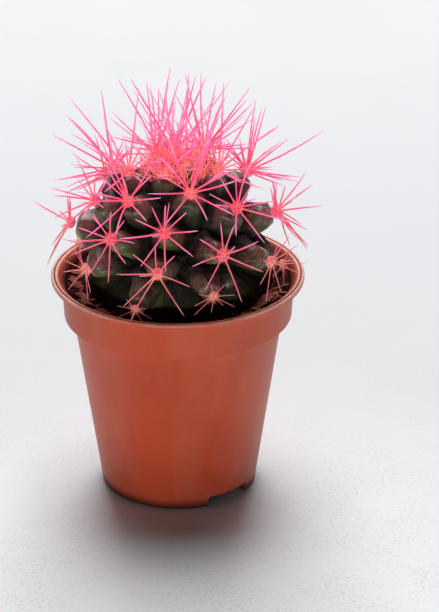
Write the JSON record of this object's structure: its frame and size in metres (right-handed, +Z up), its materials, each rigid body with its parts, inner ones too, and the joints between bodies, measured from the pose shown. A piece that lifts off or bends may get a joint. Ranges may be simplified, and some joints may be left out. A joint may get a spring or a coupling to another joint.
{
  "type": "potted round cactus",
  "caption": "Small round cactus with long dyed pink spines, planted in dark soil in a tapered brick-red plastic nursery pot with a collar.",
  "frame": {"origin": "on the surface the pot stands on, under the middle of the whole outline, spines included (the pot's own axis lies 1.5 mm from it)", "axes": "+Z up along the pot's axis; -Y is the side that faces the viewer of the picture, +X to that viewer's right"},
  "size_m": [0.0628, 0.0678, 0.0944],
  "materials": {
    "pot_plastic": "thin moulded plastic, brick red, satin, with a faint sheen on the lip",
    "soil": "moist dark potting soil with coarse fibres",
    "plant_skin": "waxy dark green skin, flushed purple-brown on the young bumps, semi-gloss",
    "spines": "hard plant spines dyed hot pink, peach at the woolly cushions",
    "bark": "dry reddish-brown bark, rough"
  },
  "bodies": {
    "root": {"pot": "pot_plastic", "soil": "soil", "plant_body": "plant_skin", "crown_tuft": "spines", "spine_cushion_01": "spines", "spine_cushion_02": "spines", "spine_cushion_03": "spines", "spine_cushion_04": "spines", "spine_cushion_05": "spines", "spine_cushion_06": "spines", "spine_cushion_07": "spines", "spine_cushion_08": "spines", "spine_cushion_09": "spines", "spine_cushion_10": "spines", "spine_cushion_11": "spines", "spine_cushion_12": "spines", "spine_cushion_13": "spines", "spine_cushion_14": "spines", "spine_cushion_15": "spines", "spine_cushion_16": "spines", "spine_cushion_17": "spines", "spine_cushion_18": "spines", "spine_cushion_19": "spines", "spine_cushion_20": "spines", "spine_cushion_21": "spines", "spine_cushion_22": "spines", "spine_cushion_23": "spines", "spine_cushion_24": "spines", "spine_cushion_25": "spines", "spine_cushion_26": "spines", "spine_cushion_27": "spines", "spine_cushion_28": "spines", "spine_cushion_29": "spines", "bark_chip_1": "bark", "bark_chip_2": "bark", "bark_chip_3": "bark", "bark_chip_4": "bark", "bark_chip_5": "bark", "bark_chip_6": "bark", "bark_chip_7": "bark", "bark_chip_8": "bark"}
  },
  "joints": []
}
